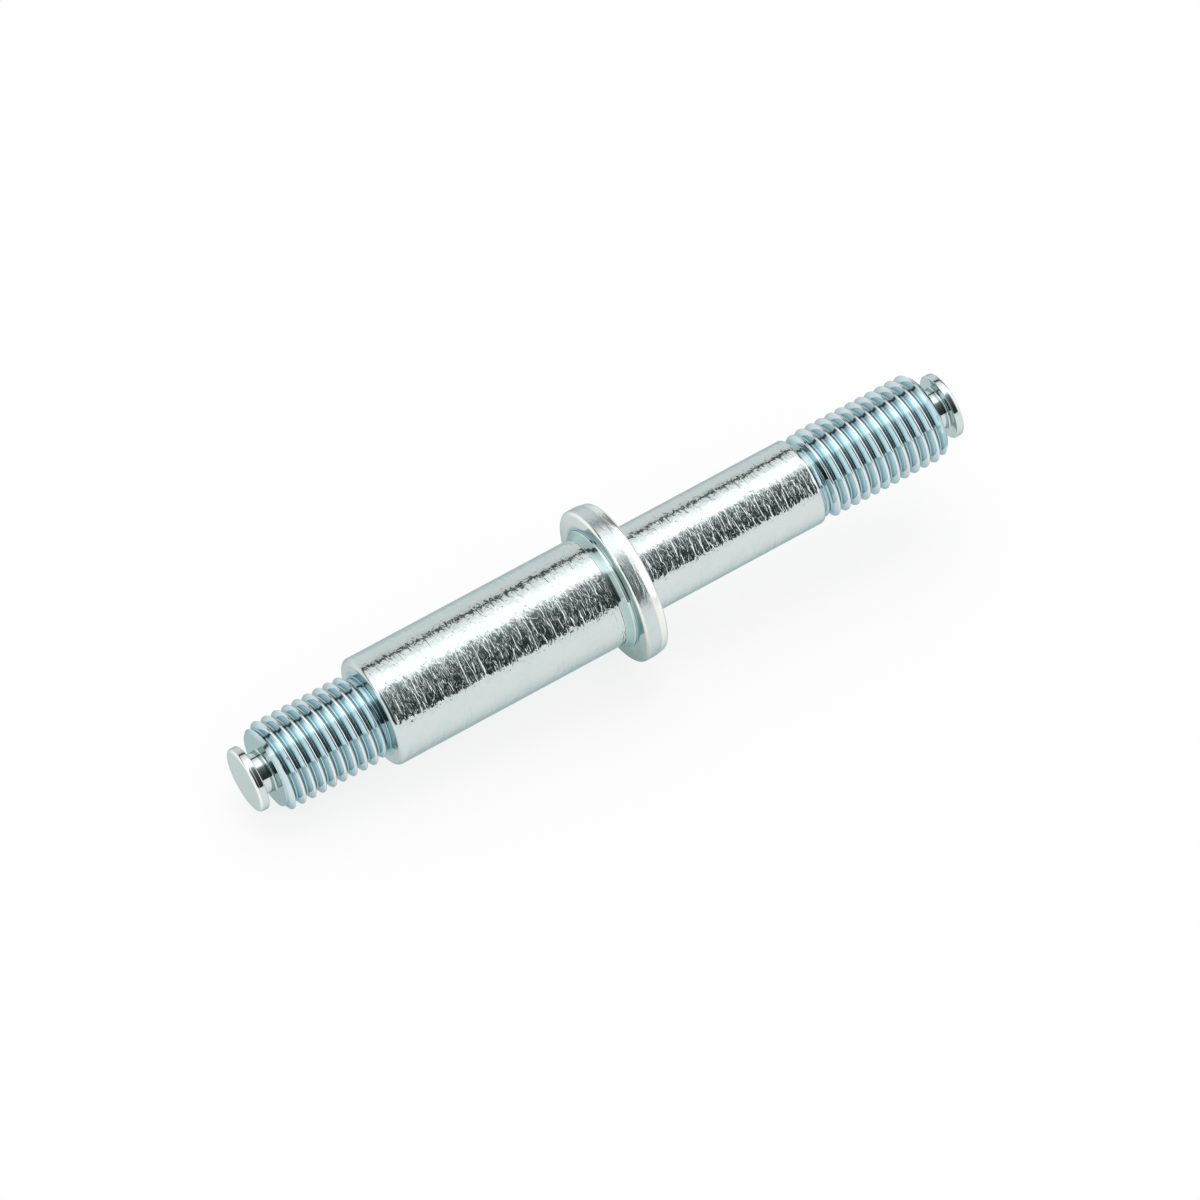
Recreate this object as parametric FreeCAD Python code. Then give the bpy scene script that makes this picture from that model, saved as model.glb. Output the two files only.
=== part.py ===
import FreeCAD, Part
import math
import os

# Pedal bolt: a double-ended pivot bolt, turned from one steel bar.
# From the pedal end along +X it has a clip button on a thin neck, a thread, the plain
# journal that the pedal turns on, a collar, a thinner plain shank, a second thread,
# and a second neck and button.
# Lengths are in millimetres and angles in degrees.
# While it is built the bolt's axis is the X axis, and x = 0 is the collar's journal side.

# Threads: metric profile, right-hand, the same size at both ends
THREAD_MAJOR_D = 16.0
THREAD_PITCH = 2.0
THREAD_FLANK_ANGLE = 60.0
THREAD_END_BEVEL = 1.0
THREAD_INNER_BEVEL = 0.6
PEDAL_THREAD_LENGTH = 20.5
BRACKET_THREAD_LENGTH = 25.1
PEDAL_THREAD_PHASE = 102.0
BRACKET_THREAD_PHASE = 0.0

# Undercut between each thread and its shoulder, just deeper than the thread's root
UNDERCUT_WIDTH = 1.5
UNDERCUT_CLEARANCE = 0.03

# Journal, with the bevel at its shoulder
JOURNAL_D = 20.0
JOURNAL_LENGTH = 46.0
JOURNAL_BEVEL = 0.8

# Foot of the journal: a hollow fillet that runs up to a low raised ring on the collar
FOOT_FILLET = 1.7
FOOT_FILLET_FACETS = 2
FOOT_RING_RISE = 0.7
FOOT_RING_HEIGHT = 0.4

# Collar
COLLAR_D = 28.6
COLLAR_WIDTH = 4.3
COLLAR_BEVEL = 0.6

# Thin shank on the bracket side
SHANK_D = 15.8
SHANK_LENGTH = 35.4
SHANK_BEVEL = 0.5

# Clip ends: a neck for a clip, held by a flat button
NECK_D = 7.5
NECK_LENGTH = 2.6
BUTTON_D = 11.8
BUTTON_THICKNESS = 1.6
BUTTON_BEVEL = 0.5

# Stations along the axis, worked out from the lengths above
SHOULDER_X = -JOURNAL_LENGTH
PEDAL_THREAD_END_X = SHOULDER_X - PEDAL_THREAD_LENGTH
PEDAL_BUTTON_X = PEDAL_THREAD_END_X - NECK_LENGTH
COLLAR_OUTER_X = COLLAR_WIDTH
SHANK_END_X = COLLAR_OUTER_X + SHANK_LENGTH
BRACKET_THREAD_END_X = SHANK_END_X + BRACKET_THREAD_LENGTH
BRACKET_BUTTON_X = BRACKET_THREAD_END_X + NECK_LENGTH

# Thread profile: straight flanks down to a sharp root at the metric minor diameter
THREAD_DEPTH = 0.61343 * THREAD_PITCH
THREAD_SLOPE = math.tan(math.radians(THREAD_FLANK_ANGLE / 2.0))
THREAD_CREST_FLAT = THREAD_PITCH - 2.0 * THREAD_DEPTH * THREAD_SLOPE
THREAD_MAJOR_R = THREAD_MAJOR_D / 2.0
THREAD_ROOT_R = THREAD_MAJOR_R - THREAD_DEPTH
UNDERCUT_R = THREAD_ROOT_R - UNDERCUT_CLEARANCE

# The helix is swept in fifths of a turn
HELIX_PIECES_PER_TURN = 5

X_AXIS = FreeCAD.Vector(1, 0, 0)
Y_AXIS = FreeCAD.Vector(0, 1, 0)
Z_AXIS = FreeCAD.Vector(0, 0, 1)
ORIGIN = FreeCAD.Vector(0, 0, 0)


def point(x, radius):
    """A point of the half outline, at a place along the axis and a radius."""
    return FreeCAD.Vector(x, 0, radius)


def step(x_start, x_end, radius, bevel_start=0.0, bevel_end=0.0):
    """Outline points of one round step, with a 45 degree bevel at each end where given."""
    points = []
    if bevel_start > 0:
        points.append(point(x_start, radius - bevel_start))
    points.append(point(x_start + bevel_start, radius))
    points.append(point(x_end - bevel_end, radius))
    if bevel_end > 0:
        points.append(point(x_end, radius - bevel_end))
    return points


def pedal_end_points():
    """Button, neck and thread blank of the pedal end, up to the journal's shoulder."""
    button_outer_x = PEDAL_BUTTON_X - BUTTON_THICKNESS
    thread_inner_x = SHOULDER_X - UNDERCUT_WIDTH
    points = [point(button_outer_x, 0)]
    points += step(button_outer_x, PEDAL_BUTTON_X, BUTTON_D / 2.0, BUTTON_BEVEL, 0)
    points += step(PEDAL_BUTTON_X, PEDAL_THREAD_END_X, NECK_D / 2.0)
    points += step(PEDAL_THREAD_END_X, thread_inner_x, THREAD_MAJOR_R, THREAD_END_BEVEL, THREAD_INNER_BEVEL)
    points += step(thread_inner_x, SHOULDER_X, UNDERCUT_R)
    return points


def bracket_end_points():
    """Thread blank, neck and button of the bracket end, from the thin shank's shoulder."""
    button_outer_x = BRACKET_BUTTON_X + BUTTON_THICKNESS
    thread_inner_x = SHANK_END_X + UNDERCUT_WIDTH
    points = step(SHANK_END_X, thread_inner_x, UNDERCUT_R)
    points += step(thread_inner_x, BRACKET_THREAD_END_X, THREAD_MAJOR_R, THREAD_INNER_BEVEL, THREAD_END_BEVEL)
    points += step(BRACKET_THREAD_END_X, BRACKET_BUTTON_X, NECK_D / 2.0)
    points += step(BRACKET_BUTTON_X, button_outer_x, BUTTON_D / 2.0, 0, BUTTON_BEVEL)
    points.append(point(button_outer_x, 0))
    return points


def foot_fillet_points():
    """The hollow fillet from the journal up to the rim of the raised ring, in flat facets."""
    turn = foot_fillet_turn()
    centre_x = -FOOT_RING_HEIGHT - FOOT_FILLET * math.sin(turn)
    centre_r = JOURNAL_D / 2.0 + FOOT_FILLET
    turns = [turn * index / FOOT_FILLET_FACETS for index in range(FOOT_FILLET_FACETS + 1)]
    return [point(centre_x + FOOT_FILLET * math.sin(a), centre_r - FOOT_FILLET * math.cos(a)) for a in turns]


def foot_fillet_turn():
    """Angle that the fillet turns through, in radians, as it climbs from the journal to the ring."""
    return math.acos(1.0 - min(FOOT_RING_RISE / FOOT_FILLET, 1.0))


def blank():
    """The whole bolt before its threads are cut, as one turned solid."""
    fillet = foot_fillet_points()
    outline = pedal_end_points()
    outline += step(SHOULDER_X, fillet[0].x, JOURNAL_D / 2.0, JOURNAL_BEVEL)
    outline += fillet[1:]
    outline.append(point(0, fillet[-1].z))
    outline += step(0, COLLAR_OUTER_X, COLLAR_D / 2.0, COLLAR_BEVEL, COLLAR_BEVEL)
    outline += step(COLLAR_OUTER_X, SHANK_END_X, SHANK_D / 2.0, 0, SHANK_BEVEL)
    outline += bracket_end_points()
    outline.append(outline[0])
    return Part.Face(Part.makePolygon(outline)).revolve(ORIGIN, X_AXIS, 360)


def helix(length):
    """A right-hand helix up the Z axis, in short pieces that are joined end to end."""
    rise = THREAD_PITCH / HELIX_PIECES_PER_TURN
    first = Part.makeHelix(THREAD_PITCH, rise, THREAD_MAJOR_R).Edges[0]
    pieces = []
    for index in range(math.ceil(length / rise)):
        piece = first.copy()
        piece.rotate(ORIGIN, Z_AXIS, 360.0 * index / HELIX_PIECES_PER_TURN)
        piece.translate(Z_AXIS * rise * index)
        pieces.append(piece)
    return Part.Wire(pieces)


def thread_groove(length, phase):
    """The V groove of one thread, from half a pitch outside its end, which is x = 0, to length."""
    lead_in = THREAD_PITCH / 2.0
    outer_r = THREAD_MAJOR_R + THREAD_CREST_FLAT / 4.0 / THREAD_SLOPE
    half_width = (outer_r - THREAD_ROOT_R) * THREAD_SLOPE
    corners = [
        FreeCAD.Vector(THREAD_ROOT_R, 0, 0),
        FreeCAD.Vector(outer_r, 0, -half_width),
        FreeCAD.Vector(outer_r, 0, half_width),
        FreeCAD.Vector(THREAD_ROOT_R, 0, 0),
    ]
    sweep = Part.BRepOffsetAPI.MakePipeShell(helix(length + 2.0 * lead_in))
    sweep.setBiNormalMode(Z_AXIS)
    sweep.add(Part.makePolygon(corners))
    sweep.build()
    sweep.makeSolid()
    groove = sweep.shape()
    if groove.Volume < 0:
        groove.reverse()
    groove.translate(Z_AXIS * -lead_in)
    groove.rotate(ORIGIN, Z_AXIS, phase)
    room = Part.makeCylinder(outer_r + THREAD_PITCH, length + 2.0 * lead_in, Z_AXIS * -2.0 * lead_in)
    groove = groove.common(room)
    groove.rotate(ORIGIN, Y_AXIS, 90)
    return groove


def pedal_thread_groove():
    """The groove of the pedal end's thread, in place."""
    groove = thread_groove(PEDAL_THREAD_LENGTH, PEDAL_THREAD_PHASE)
    groove.translate(X_AXIS * PEDAL_THREAD_END_X)
    return groove


def bracket_thread_groove():
    """The groove of the bracket end's thread, turned end for end and in place."""
    groove = thread_groove(BRACKET_THREAD_LENGTH, BRACKET_THREAD_PHASE)
    groove.rotate(ORIGIN, Z_AXIS, 180)
    groove.translate(X_AXIS * BRACKET_THREAD_END_X)
    return groove


def bolt_along_x():
    """The finished bolt, lying along the X axis."""
    return blank().cut(pedal_thread_groove()).cut(bracket_thread_groove())


def rest_corners():
    """The outline corners that could touch a floor on the pedal side, as (x, radius)."""
    return {
        "collar rim": (COLLAR_BEVEL, COLLAR_D / 2.0),
        "journal shoulder": (SHOULDER_X + JOURNAL_BEVEL, JOURNAL_D / 2.0),
        "thread end": (PEDAL_THREAD_END_X + THREAD_END_BEVEL, THREAD_MAJOR_R),
        "button": (PEDAL_BUTTON_X - BUTTON_THICKNESS + BUTTON_BEVEL, BUTTON_D / 2.0),
    }


def rest_tilt():
    """Angle of the axis to the floor when the bolt lies on its collar's rim and the next corner."""
    corners = rest_corners()
    rim_x, rim_r = corners.pop("collar rim")
    return min(math.degrees(math.atan2(rim_r - r, rim_x - x)) for x, r in corners.values())


def lie_down(shape):
    """The shape tipped to rest on a floor at z = 0, with the origin under the middle of its box."""
    resting = shape.copy()
    resting.rotate(ORIGIN, Y_AXIS, -rest_tilt())
    box = resting.optimalBoundingBox(False, False)
    resting.translate(FreeCAD.Vector(-box.Center.x, -box.Center.y, -box.ZMin))
    return resting


def main():
    os.makedirs("parts", exist_ok=True)
    bolt = lie_down(bolt_along_x())
    bolt.exportStep("parts/pedal_bolt.step")
    print("pedal_bolt: valid", bolt.isValid(), "solids", len(bolt.Solids), "volume", round(bolt.Volume, 2))
    print("rest tilt", round(rest_tilt(), 3), "box", bolt.BoundBox)


main()
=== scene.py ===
"""Visual model of the pedal bolt, one turned and threaded piece of zinc plated steel.

Sizes are given in millimetres along and round the bolt's own axis, where x = 0 is the
collar's journal side and the pedal end is at minus x. The finished mesh is in metres, in
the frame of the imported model, where the bolt lies on its collar's rim and its journal's
shoulder.
"""
import logging
import math
from dataclasses import dataclass, field
from enum import Enum
from typing import Any, Callable, Sequence

import bmesh
import bpy
from bpy.types import ColorRamp, Material, Node, NodeSocket, NodeTree, Object
from mathutils import Matrix, Vector


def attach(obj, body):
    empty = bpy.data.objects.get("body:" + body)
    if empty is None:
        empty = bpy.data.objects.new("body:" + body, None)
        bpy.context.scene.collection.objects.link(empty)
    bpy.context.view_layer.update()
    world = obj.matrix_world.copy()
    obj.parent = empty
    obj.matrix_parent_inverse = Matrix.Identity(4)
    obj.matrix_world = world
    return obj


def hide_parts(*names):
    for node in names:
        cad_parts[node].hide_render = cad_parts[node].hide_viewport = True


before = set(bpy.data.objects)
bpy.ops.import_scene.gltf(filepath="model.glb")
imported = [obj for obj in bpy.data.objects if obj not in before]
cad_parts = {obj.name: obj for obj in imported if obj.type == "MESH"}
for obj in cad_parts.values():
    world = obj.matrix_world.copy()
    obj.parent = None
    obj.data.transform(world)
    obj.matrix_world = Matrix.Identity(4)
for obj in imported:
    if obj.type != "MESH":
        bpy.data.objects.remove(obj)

LOG = logging.getLogger("pedal_bolt")

MM = 0.001
NODE = "pedal_bolt"

# Where the journal meets the collar's low ring, and the collar meets the thin shank
RING_X = -0.47
RING_R = 10.8
SHANK_X = 4.9
SHANK_R = 7.9

# Undercut beside each shoulder: its radius, where the shoulder's part ends and the thread's starts
UNDERCUT_R = 6.75
SHOULDER_PART = 0.3
THREAD_PART = 0.4

Point = tuple[float, float]
Colour = tuple[float, float, float, float]

WHITE: Colour = (1.0, 1.0, 1.0, 1.0)


class Cap(Enum):
    """Whether the first ring of a turned part is closed by a disc."""

    OPEN = "NOTHING"
    DISC = "TRIFAN"


class End(Enum):
    """The two ends of the bolt, by the direction along x from the thread's end face inwards."""

    PEDAL = 1.0
    BRACKET = -1.0


@dataclass(frozen=True)
class Rest:
    """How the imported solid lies, on its collar's rim and its journal's shoulder.

    Attributes:
        rim: corner of its collar that touches the floor, along and out.
        shoulder: corner of its journal that does.
        end_faces: places of its two ends, which lie evenly about the frame's origin.
    """

    rim: Point = (0.6, 14.3)
    shoulder: Point = (-45.2, 10.0)
    end_faces: Point = (-70.7, 69.0)

    @property
    def tilt(self) -> float:
        """Returns the angle between the axis and the floor, in radians."""
        return math.atan2(self.rim[1] - self.shoulder[1], self.rim[0] - self.shoulder[0])

    @property
    def offset(self) -> Vector:
        """Works out where the axis stands off the frame's origin.

        Returns:
            The place of its point x = 0, in metres.
        """
        along = -sum(self.end_faces) / 2.0 * math.cos(self.tilt)
        up = self.rim[1] * math.cos(self.tilt) - self.rim[0] * math.sin(self.tilt)
        return Vector((along, 0.0, up)) * MM

    def placement(self) -> Matrix:
        """Returns the placement of the bolt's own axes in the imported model's frame."""
        return Matrix.Translation(self.offset) @ Matrix.Rotation(-self.tilt, 4, "Y")


REST = Rest()


def deselect_all() -> None:
    """Leaves edit mode with nothing selected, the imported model's own nodes included."""
    if bpy.context.object is not None and bpy.context.object.mode != "OBJECT":
        bpy.ops.object.mode_set(mode="OBJECT")
    bpy.ops.object.select_all(action="DESELECT")


def edit_all() -> None:
    """Enters edit mode with every vertex selected."""
    bpy.ops.object.mode_set(mode="EDIT")
    bpy.ops.mesh.select_mode(type="VERT")
    bpy.ops.mesh.select_all(action="SELECT")


def select_vertices(wanted: Callable[[Vector], bool]) -> None:
    """Selects the vertices of the mesh being edited that a test wants, and nothing else.

    Args:
        wanted: test of a vertex by its place.
    """
    mesh = bmesh.from_edit_mesh(bpy.context.edit_object.data)
    for part in (mesh.faces, mesh.edges, mesh.verts):
        for item in part:
            item.select_set(False)
    for vertex in mesh.verts:
        if wanted(vertex.co):
            vertex.select_set(True)
    mesh.select_flush(True)
    bmesh.update_edit_mesh(bpy.context.edit_object.data)


@dataclass(frozen=True)
class Corner:
    """One corner of a turned outline.

    Attributes:
        x: place along the axis.
        r: radius there.
        rounding: radius of the arc that rounds the corner, or 0 for a sharp one.
    """

    x: float
    r: float
    rounding: float = 0.0


@dataclass(frozen=True)
class Outline:
    """Half outline of a turned part, given by its corners in order.

    Attributes:
        corners: the corners, the first and last of which stay sharp.
        arc_step: most that one facet of a rounded corner turns, in degrees.
        holding: distance of the ring that holds a straight run flat next to an arc.
    """

    corners: Sequence[Corner]
    arc_step: float = 18.0
    holding: float = 0.18

    def points(self) -> list[Point]:
        """Works out the outline's points.

        Returns:
            The points in order, with every arc and holding ring in place.
        """
        runs = [[(self.corners[0].x, self.corners[0].r)]]
        for before, corner, after in zip(self.corners, self.corners[1:], self.corners[2:]):
            runs.append(self.arc(before, corner, after) if corner.rounding else [(corner.x, corner.r)])
        runs.append([(self.corners[-1].x, self.corners[-1].r)])
        points = list(runs[0])
        for run in runs[1:]:
            points += self.held(points[-1], run[0])
            points += run
        return points

    def arc(self, before: Corner, corner: Corner, after: Corner) -> list[Point]:
        """Works out the arc that rounds one corner.

        Args:
            before: the corner before it.
            corner: the corner that is rounded.
            after: the corner after it.

        Returns:
            The arc's points in the outline's order.
        """
        apex = Vector((corner.x, corner.r))
        to_before = (Vector((before.x, before.r)) - apex).normalized()
        to_after = (Vector((after.x, after.r)) - apex).normalized()
        half = to_before.angle(to_after) / 2.0
        centre = apex + (to_before + to_after).normalized() * corner.rounding / math.sin(half)
        first = apex + to_before * corner.rounding / math.tan(half) - centre
        last = apex + to_after * corner.rounding / math.tan(half) - centre
        turn = -first.angle_signed(last)
        steps = max(2, math.ceil(abs(math.degrees(turn)) / self.arc_step))
        spokes = [Matrix.Rotation(turn * index / steps, 2) @ first for index in range(steps + 1)]
        return [tuple(centre + spoke) for spoke in spokes]

    def held(self, start: Point, end: Point) -> list[Point]:
        """Places the rings that keep a straight run's shading flat.

        Args:
            start: where the run starts.
            end: where it ends.

        Returns:
            One point near each end of the run, or nothing for a short run.
        """
        run = Vector(end) - Vector(start)
        if run.length < 4.0 * self.holding:
            return []
        inset = run.normalized() * self.holding
        return [tuple(Vector(start) + inset), tuple(Vector(end) - inset)]


@dataclass(frozen=True)
class Lathe:
    """Turns outlines into meshes, ring after ring.

    Attributes:
        ring_points: points round each ring.
    """

    ring_points: int = 144

    def turn(self, name: str, outline: Outline, cap: Cap = Cap.OPEN) -> Object:
        """Extrudes one ring along an outline and sizes it at every point.

        Args:
            name: name of the new object.
            outline: the half outline.
            cap: whether the first ring is closed.

        Returns:
            The turned part, an open tube beyond its first ring.
        """
        (x, r), *rest = outline.points()
        deselect_all()
        bpy.ops.mesh.primitive_circle_add(
            vertices=self.ring_points, radius=r * MM, fill_type=cap.value,
            location=(x * MM, 0.0, 0.0), rotation=(0.0, math.pi / 2.0, 0.0))
        part = bpy.context.object
        part.name = name
        bpy.ops.object.transform_apply(location=True, rotation=True, scale=True)
        edit_all()
        select_vertices(lambda place: math.hypot(place.y, place.z) > r * MM / 2.0)
        for next_x, next_r in rest:
            bpy.ops.mesh.extrude_region_move(
                TRANSFORM_OT_translate={"value": ((next_x - x) * MM, 0.0, 0.0)})
            bpy.ops.transform.resize(
                value=(1.0, next_r / r, next_r / r), center_override=(next_x * MM, 0.0, 0.0))
            x, r = next_x, next_r
        bpy.ops.object.mode_set(mode="OBJECT")
        return part


@dataclass(frozen=True)
class ClipEnd:
    """End button, the neck that a clip sits on, and the end face of the thread.

    Attributes:
        end: which end of the bolt it is on.
        face_x: place of the thread's end face.
        disc_r: radius of the disc that closes the button's face.
        face_r: radius of the ring on the end face that the thread is bridged to.
    """

    end: End
    face_x: float
    neck_length: float = 2.6
    neck_r: float = 3.75
    neck_rounding: float = 0.32
    button_r: float = 5.9
    button_thickness: float = 1.6
    front_rounding: float = 0.6
    back_rounding: float = 0.24
    disc_r: float = 4.6
    face_r: float = 6.2

    def build(self, lathe: Lathe) -> Object:
        """Turns the clip end.

        Args:
            lathe: makes the mesh.

        Returns:
            The end, from the button's face to a ring on the thread's end face.
        """
        inwards = self.end.value
        button_back = self.face_x - inwards * self.neck_length
        button_face = button_back - inwards * self.button_thickness
        corners = [
            Corner(button_face, self.disc_r),
            Corner(button_face, self.button_r, self.front_rounding),
            Corner(button_back, self.button_r, self.back_rounding),
            Corner(button_back, self.neck_r, self.neck_rounding),
            Corner(self.face_x, self.neck_r, self.neck_rounding),
            Corner(self.face_x, self.face_r),
        ]
        return lathe.turn(f"{self.end.name.lower()}_clip_end", Outline(corners), Cap.DISC)


@dataclass(frozen=True)
class RolledThread:
    """One rolled right-hand thread, from its bevelled end face to its undercut.

    Attributes:
        end: which end of the bolt it is on.
        face_x: place of its end face.
        shoulder_x: place of the shoulder that the undercut lies against.
        groove_x: place of one groove's middle where it passes straight above the axis.
        face_r: radius at which the end bevel leaves the end face.
        undercut_width: distance from the shoulder at which the run-out starts.
        full_crest_at: distance from it at which the crest is whole.
        run_out_power: how the run-out rises, faster at first below 1.
        softness: width over which the bevel and the crest are eased together.
        merge: distance at which points of neighbouring turns are one.
        cut_slack: distance at which a point lies on a cut.
    """

    end: End
    face_x: float
    shoulder_x: float
    groove_x: float
    pitch: float = 2.0
    crest_r: float = 8.0
    root_r: float = 6.8
    root_rounding: float = 0.25
    crest_rounding: float = 0.25
    flank_angle: float = 60.0
    flank_holding: float = 0.05
    face_r: float = 6.98
    undercut_r: float = UNDERCUT_R
    undercut_part: float = THREAD_PART
    undercut_width: float = 0.45
    full_crest_at: float = 3.0
    run_out_power: float = 0.8
    softness: float = 0.1
    merge: float = 0.002
    cut_slack: float = 0.0001

    def half_profile(self) -> list[Point]:
        """Works out half a groove.

        Returns:
            Its outline, from the middle of its root to the middle of a crest.
        """
        lean = math.radians(90.0 - self.flank_angle / 2.0)
        up_flank = Vector((math.cos(lean), math.sin(lean)))
        parts = (0.0, 1.0 / 3.0, 2.0 / 3.0, 1.0)
        root_centre = Vector((0.0, self.root_r + self.root_rounding))
        root = [root_centre + self.root_rounding * Vector((math.sin(lean * part), -math.cos(lean * part)))
                for part in parts]
        apex = root[-1] + up_flank * (self.crest_r - root[-1].y) / up_flank.y
        crest_centre = Vector((apex.x + self.crest_rounding * math.tan(lean / 2.0),
                               self.crest_r - self.crest_rounding))
        crest = [crest_centre + self.crest_rounding * Vector((-math.sin(lean * part), math.cos(lean * part)))
                 for part in reversed(parts)]
        held = [root[-1] + up_flank * self.flank_holding, crest[0] - up_flank * self.flank_holding]
        return [tuple(point) for point in root + held + crest] + [(self.pitch / 2.0, self.crest_r)]

    def profile(self) -> list[Point]:
        """Returns one whole pitch of the outline, from root to root."""
        half = self.half_profile()
        return half + [(self.pitch - x, r) for x, r in reversed(half[:-1])]

    def chain(self, start_x: float) -> Object:
        """Draws one pitch of the profile as a chain of edges.

        Args:
            start_x: where the chain's first root lies.

        Returns:
            The chain, standing straight above the axis.
        """
        points = [(start_x + x, r) for x, r in self.profile()]
        deselect_all()
        bpy.ops.mesh.primitive_plane_add(size=MM, location=(0.0, 0.0, 0.0))
        edit_all()
        bpy.ops.mesh.merge(type="CENTER")
        x, r = points[0]
        bpy.ops.transform.translate(value=(x * MM, 0.0, r * MM))
        for next_x, next_r in points[1:]:
            bpy.ops.mesh.extrude_region_move(
                TRANSFORM_OT_translate={"value": ((next_x - x) * MM, 0.0, (next_r - r) * MM)})
            x, r = next_x, next_r
        bpy.ops.object.mode_set(mode="OBJECT")
        return bpy.context.object

    def build(self, lathe: Lathe) -> Object:
        """Screws the profile along the axis and trims it to length.

        Args:
            lathe: gives the number of points round the thread.

        Returns:
            The thread, an open tube with its crests fading out at both ends.
        """
        low_x, high_x = sorted((self.face_x, self.shoulder_x - self.end.value * self.undercut_part))
        lead = math.ceil((self.groove_x - low_x) / self.pitch) + 1
        start_x = self.groove_x - lead * self.pitch
        thread = self.chain(start_x)
        thread.name = f"{self.end.name.lower()}_thread"
        screw = thread.modifiers.new("helix", "SCREW")
        screw.axis = "X"
        screw.angle = 2.0 * math.pi
        screw.screw_offset = self.pitch * MM
        screw.iterations = math.ceil((high_x - start_x) / self.pitch) + 1
        screw.steps = lathe.ring_points
        screw.render_steps = lathe.ring_points
        screw.use_merge_vertices = False
        bpy.ops.object.modifier_apply(modifier=screw.name)
        edit_all()
        bpy.ops.mesh.remove_doubles(threshold=self.merge * MM)
        for x, outwards in ((low_x, -1.0), (high_x, 1.0)):
            bpy.ops.mesh.select_all(action="SELECT")
            bpy.ops.mesh.bisect(
                plane_co=(x * MM, 0.0, 0.0), plane_no=(outwards, 0.0, 0.0),
                clear_outer=True, use_fill=False, threshold=self.cut_slack * MM)
        bpy.ops.object.mode_set(mode="OBJECT")
        self.fade(thread)
        return thread

    def fade(self, thread: Object) -> None:
        """Bevels the crests at the end face and lowers them to the run-out, which no operator does.

        Args:
            thread: the screwed thread.
        """
        for vertex in thread.data.vertices:
            r = math.hypot(vertex.co.y, vertex.co.z) / MM
            from_face = abs(vertex.co.x / MM - self.face_x)
            from_shoulder = abs(vertex.co.x / MM - self.shoulder_x)
            lowered = self.undercut_r + (r - self.undercut_r) * self.run_out(from_shoulder)
            scale = self.soft_least(lowered, self.face_r + from_face) / r
            vertex.co.y *= scale
            vertex.co.z *= scale

    def run_out(self, distance: float) -> float:
        """Returns the part of its full height that the thread has at a distance from the shoulder."""
        part = (distance - self.undercut_width) / (self.full_crest_at - self.undercut_width)
        return math.sin(math.pi / 2.0 * min(max(part, 0.0), 1.0)) ** self.run_out_power

    def soft_least(self, first: float, second: float) -> float:
        """Returns the lesser of two radii, eased where they meet."""
        overlap = max(self.softness - abs(first - second), 0.0)
        return min(first, second) - overlap * overlap / (4.0 * self.softness)


@dataclass(frozen=True)
class Journal:
    """Thick plain length that the pedal turns on, with the hollow at its foot.

    Attributes:
        hollow_x: where the hollow leaves the plain length.
        hollow_edge: rounding of the edge there.
        bend: place of the hollow's bend, along and out.
        hollow_rounding: radius of that bend.
    """

    shoulder_x: float
    undercut_r: float = UNDERCUT_R
    undercut_part: float = SHOULDER_PART
    undercut_rounding: float = 0.2
    r: float = 10.0
    shoulder_rounding: float = 0.86
    hollow_x: float = -1.6
    hollow_edge: float = 0.12
    bend: Point = (-1.08, 10.32)
    hollow_rounding: float = 0.6
    ring: Point = (RING_X, RING_R)

    def build(self, lathe: Lathe) -> Object:
        """Turns the journal.

        Args:
            lathe: makes the mesh.

        Returns:
            The journal, from its undercut to the rim of the low ring.
        """
        corners = [
            Corner(self.shoulder_x - self.undercut_part, self.undercut_r),
            Corner(self.shoulder_x, self.undercut_r, self.undercut_rounding),
            Corner(self.shoulder_x, self.r, self.shoulder_rounding),
            Corner(self.hollow_x, self.r, self.hollow_edge),
            Corner(*self.bend, self.hollow_rounding),
            Corner(*self.ring),
        ]
        return lathe.turn("journal", Outline(corners, arc_step=10.0))


@dataclass(frozen=True)
class Collar:
    """Collar with the low raised ring on its journal side and a worn bracket side.

    Attributes:
        ring_edge: how far the ring's outer edge lies along and out from its rim.
        ring_foot: how far out from its rim the ring meets the collar's face.
        slope_x: where the rim's worn slope starts.
        slope_end_x: where it steepens, with slope_drop behind it.
        edge_drop: how far the rim has dropped at the bracket face.
        foot_rounding: rounding between the bracket face and the thin shank.
    """

    ring_x: float = RING_X
    ring_r: float = RING_R
    ring_edge: Point = (0.14, 0.13)
    ring_foot: float = 0.16
    ring_rounding: float = 0.1
    r: float = 14.28
    width: float = 4.3
    journal_rounding: float = 0.65
    slope_x: float = 2.25
    slope_rounding: float = 2.5
    slope_end_x: float = 4.0
    slope_end_rounding: float = 0.5
    slope_drop: float = 0.3
    edge_drop: float = 0.66
    edge_rounding: float = 0.25
    foot_rounding: float = 0.25
    shank: Point = (SHANK_X, SHANK_R)

    def build(self, lathe: Lathe) -> Object:
        """Turns the collar.

        Args:
            lathe: makes the mesh.

        Returns:
            The collar, from the rim of the low ring to the foot of the thin shank.
        """
        corners = [
            Corner(self.ring_x, self.ring_r),
            Corner(self.ring_x + self.ring_edge[0], self.ring_r + self.ring_edge[1], self.ring_rounding),
            Corner(0.0, self.ring_r + self.ring_foot, self.ring_rounding),
            Corner(0.0, self.r, self.journal_rounding),
            Corner(self.slope_x, self.r, self.slope_rounding),
            Corner(self.slope_end_x, self.r - self.slope_drop, self.slope_end_rounding),
            Corner(self.width, self.r - self.edge_drop, self.edge_rounding),
            Corner(self.width, self.shank[1], self.foot_rounding),
            Corner(*self.shank),
        ]
        return lathe.turn("collar", Outline(corners, arc_step=12.0))


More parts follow.
